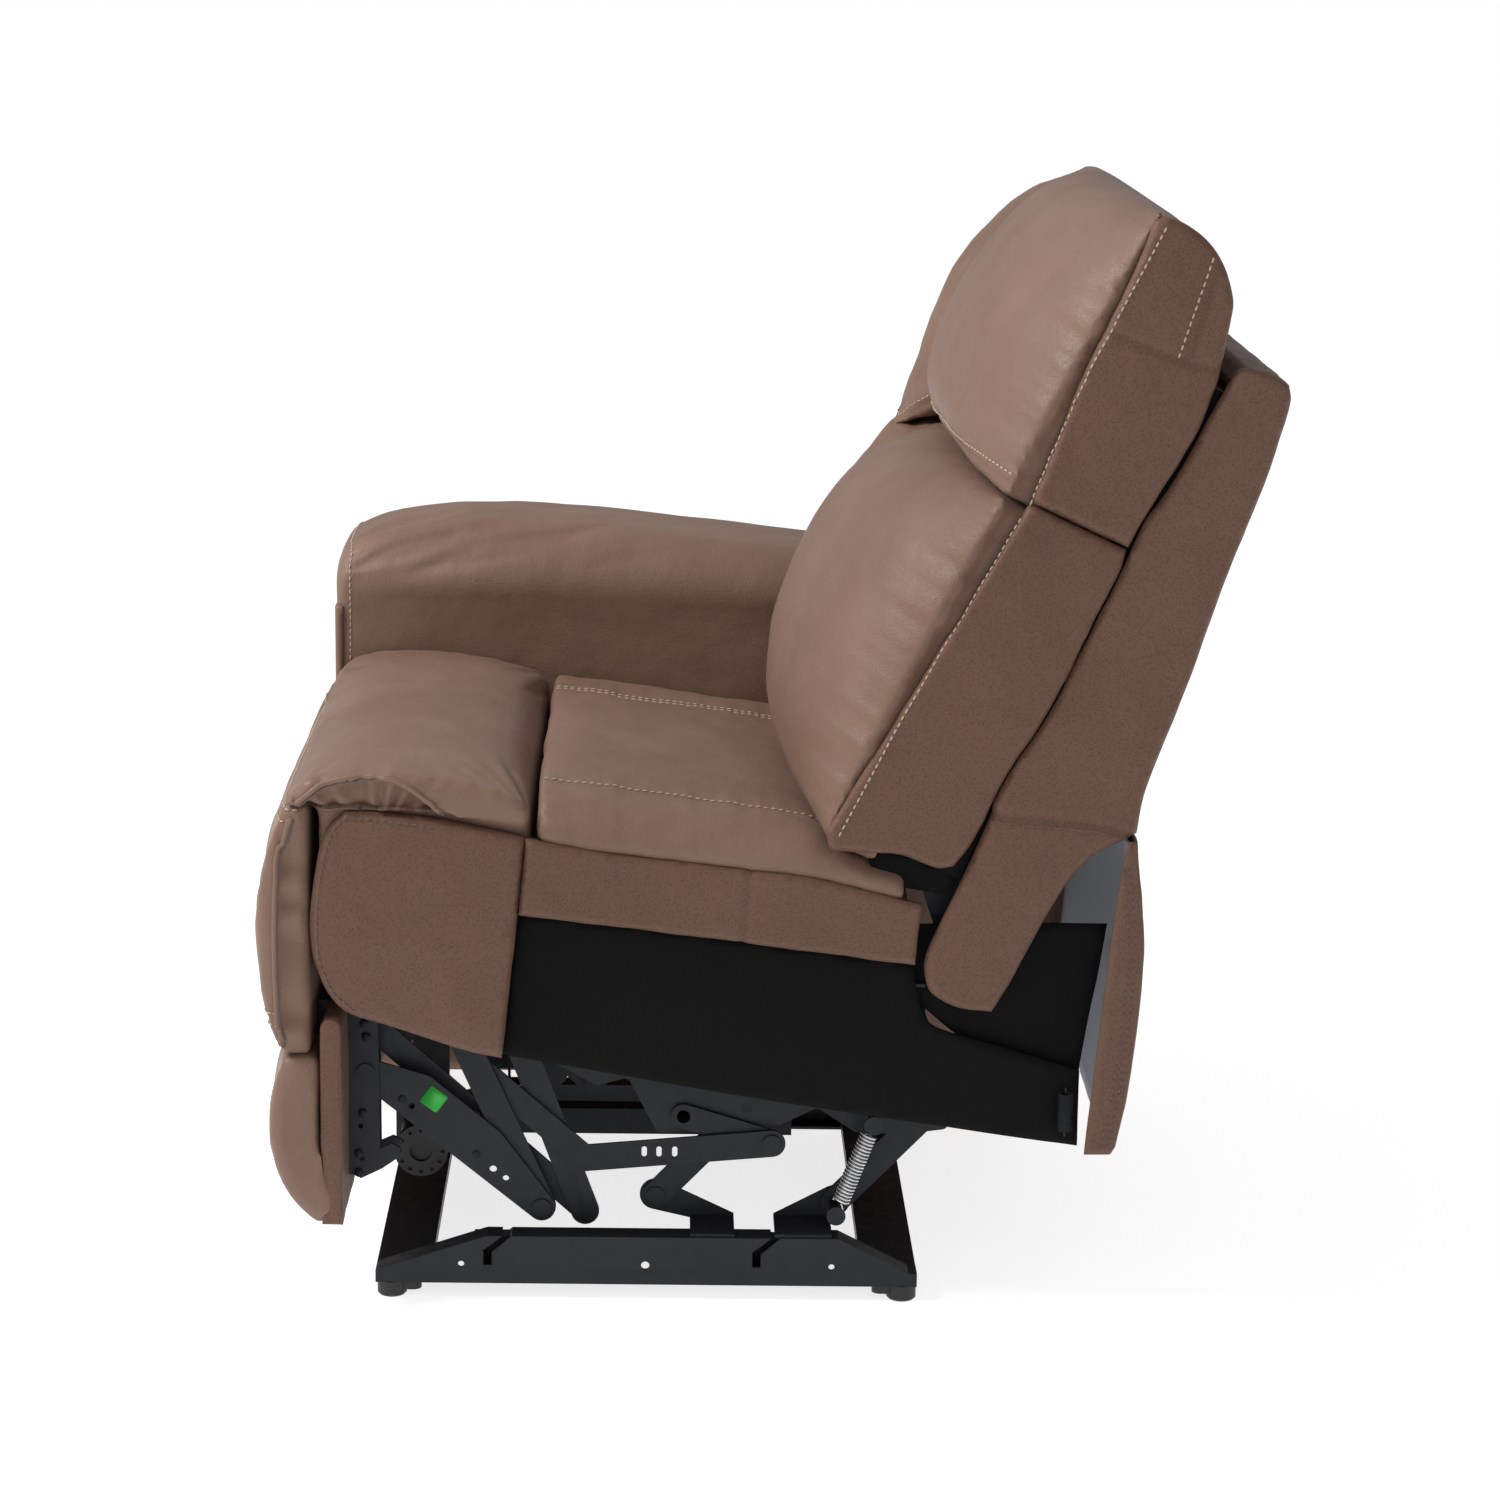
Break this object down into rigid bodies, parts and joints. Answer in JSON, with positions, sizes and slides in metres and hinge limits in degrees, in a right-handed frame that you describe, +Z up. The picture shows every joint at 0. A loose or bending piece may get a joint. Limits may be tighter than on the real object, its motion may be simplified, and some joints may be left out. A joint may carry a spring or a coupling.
{
  "type": "recliner armchair",
  "caption": "Padded power recliner with one arm, open on the other side over its linkage and floor frame; footrest, back and headrest move.",
  "frame": {"origin": "on the floor under the middle of the whole chair", "axes": "+Z up, -Y the front that the sitter faces, +X the open side without an arm"},
  "size_m": [0.83, 0.926, 1.0378],
  "materials": {
    "smooth_leather": "mid brown leather, fine grain, soft sheen",
    "grained_leather": "mid brown pebbled leather match",
    "black_cloth": "black non-woven cloth over board",
    "black_steel": "black satin powder coat",
    "zinc_steel": "bright zinc plate",
    "black_plastic": "matte black plastic",
    "wood": "raw plywood and pine"
  },
  "bodies": {
    "base": {"base_rail_right": "black_steel", "base_rail_left": "black_steel", "base_beams": "black_steel", "feet": "black_plastic", "pivot_brackets": "black_steel", "arm_frame": "wood", "arm_hooks": "black_steel", "arm_panel_inner": "grained_leather", "arm_panel_outer": "grained_leather", "arm_front": "grained_leather", "arm_pad": "smooth_leather", "control_plate": "black_plastic"},
    "rear_swing": {"rear_swing_links": "black_steel", "rear_swing_tube": "black_steel", "balance_springs": "zinc_steel"},
    "front_swing": {"front_swing_links": "black_steel"},
    "seat": {"seat_plate_right": "black_steel", "seat_plate_left": "black_steel", "seat_pivot_pins": "black_steel", "seat_risers": "black_steel", "seat_cross_tubes": "black_steel", "drive_motor": "black_plastic", "actuator_rail": "black_steel", "seat_side_rails": "wood", "seat_cross_rails": "wood", "seat_springs": "black_steel", "seat_cushion": "smooth_leather", "front_roll": "smooth_leather", "front_side_panel": "grained_leather", "side_strip": "grained_leather", "side_cover_right": "black_cloth", "side_cover_left": "black_cloth", "skirt_springs": "black_steel"},
    "back": {"back_frame": "wood", "back_hinge_plates": "black_steel", "lumbar_cushion": "smooth_leather", "lumbar_sides": "grained_leather", "back_wings": "grained_leather", "outer_back": "grained_leather", "head_hinge_rod": "zinc_steel", "head_actuator": "black_plastic"},
    "skirt": {"back_skirt": "grained_leather"},
    "headrest": {"head_cushion": "smooth_leather", "head_sides": "grained_leather", "head_board": "wood"},
    "inner_front": {"inner_links_front": "black_steel"},
    "inner_rear": {"inner_links_rear": "black_steel"},
    "outer_front": {"outer_links_front": "black_steel"},
    "outer_rear": {"outer_links_rear": "black_steel"},
    "footrest_panel": {"footrest_brackets": "black_steel", "footrest_boards": "wood", "footrest_pad_upper": "smooth_leather", "footrest_pad_lower": "smooth_leather"},
    "drive_crank": {"drive_shaft": "black_steel"},
    "push_link": {"push_links": "black_steel"},
    "carriage": {"actuator_carriage": "black_plastic"},
    "button_open": {"button_open": "black_plastic"},
    "button_close": {"button_close": "black_plastic"},
    "button_head_forward": {"button_head_forward": "black_plastic"},
    "button_head_back": {"button_head_back": "black_plastic"}
  },
  "joints": [
    {"name": "recline", "type": "hinge", "parent": "base", "child": "rear_swing", "pos_m": [0.1225, 0.078, 0.08], "axis": [1, 0, 0], "range_deg": [0, 50], "deforming": ["balance_springs"]},
    {"name": "front_swing_turn", "type": "hinge", "parent": "base", "child": "front_swing", "pos_m": [0.1225, -0.093, 0.085], "axis": [1, 0, 0], "range_deg": [0, 50.01]},
    {"name": "seat_level", "type": "hinge", "parent": "rear_swing", "child": "seat", "pos_m": [0.1225, 0.164, 0.17], "axis": [-1, 0, 0], "range_deg": [0, 50.01]},
    {"name": "back_recline", "type": "hinge", "parent": "seat", "child": "back", "pos_m": [0.1225, 0.19, 0.345], "axis": [-1, 0, 0], "range_deg": [0, 30.01]},
    {"name": "skirt_hang", "type": "hinge", "parent": "back", "child": "skirt", "pos_m": [0.1225, 0.341, 0.458], "axis": [1, 0, 0], "range_deg": [0, 26.01], "deforming": ["skirt_springs"]},
    {"name": "headrest_tilt", "type": "hinge", "parent": "back", "child": "headrest", "pos_m": [0.1225, 0.29602, 0.7408], "axis": [1, 0, 0], "range_deg": [0, 22]},
    {"name": "footrest", "type": "hinge", "parent": "seat", "child": "inner_front", "pos_m": [0.1225, -0.3, 0.298], "axis": [-1, 0, 0], "range_deg": [0, 108.12]},
    {"name": "inner_rear_turn", "type": "hinge", "parent": "seat", "child": "inner_rear", "pos_m": [0.1225, -0.24, 0.285], "axis": [-1, 0, 0], "range_deg": [0, 92.85]},
    {"name": "outer_front_turn", "type": "hinge", "parent": "inner_front", "child": "outer_front", "pos_m": [0.1225, -0.201, 0.079], "axis": [1, 0, 0], "range_deg": [0, 116.02]},
    {"name": "outer_rear_turn", "type": "hinge", "parent": "inner_rear", "child": "outer_rear", "pos_m": [0.1225, -0.16, 0.072], "axis": [1, 0, 0], "range_deg": [0, 96.79]},
    {"name": "footrest_turn", "type": "hinge", "parent": "outer_front", "child": "footrest_panel", "pos_m": [0.1225, -0.367, 0.213], "axis": [-1, 0, 0], "range_deg": [0, 92.89]},
    {"name": "drive_turn", "type": "hinge", "parent": "seat", "child": "drive_crank", "pos_m": [0.1225, -0.067, 0.167], "axis": [-1, 0, 0], "range_deg": [0, 138.84]},
    {"name": "push_turn", "type": "hinge", "parent": "drive_crank", "child": "push_link", "pos_m": [0.1225, 0.017, 0.142], "axis": [1, 0, 0], "range_deg": [0, 120.64]},
    {"name": "carriage_slide", "type": "slide", "parent": "seat", "child": "carriage", "axis": [0, -1, 0], "range_m": [0, 0.1121]},
    {"name": "press_open", "type": "slide", "parent": "base", "child": "button_open", "axis": [1, 0, 0], "range_m": [0, 0.0015], "stiffness_N_per_m": 400},
    {"name": "press_close", "type": "slide", "parent": "base", "child": "button_close", "axis": [1, 0, 0], "range_m": [0, 0.0015], "stiffness_N_per_m": 400},
    {"name": "press_head_forward", "type": "slide", "parent": "base", "child": "button_head_forward", "axis": [1, 0, 0], "range_m": [0, 0.0015], "stiffness_N_per_m": 400},
    {"name": "press_head_back", "type": "slide", "parent": "base", "child": "button_head_back", "axis": [1, 0, 0], "range_m": [0, 0.0015], "stiffness_N_per_m": 400}
  ],
  "couplings": [
    {"joint": "front_swing_turn", "follows": "recline", "ratio": 1},
    {"joint": "seat_level", "follows": "recline", "ratio": 1},
    {"joint": "back_recline", "follows": "recline", "ratio": 0.6},
    {"joint": "skirt_hang", "follows": "recline", "ratio": 0.52},
    {"joint": "inner_rear_turn", "follows": "footrest", "ratio": 0.85867},
    {"joint": "outer_front_turn", "follows": "footrest", "ratio": 1.0729},
    {"joint": "outer_rear_turn", "follows": "footrest", "ratio": 0.89511},
    {"joint": "footrest_turn", "follows": "footrest", "ratio": 0.85902},
    {"joint": "drive_turn", "follows": "footrest", "ratio": 1.284},
    {"joint": "push_turn", "follows": "footrest", "ratio": 1.1157},
    {"joint": "carriage_slide", "follows": "footrest", "m_per_rad": 0.059349}
  ]
}
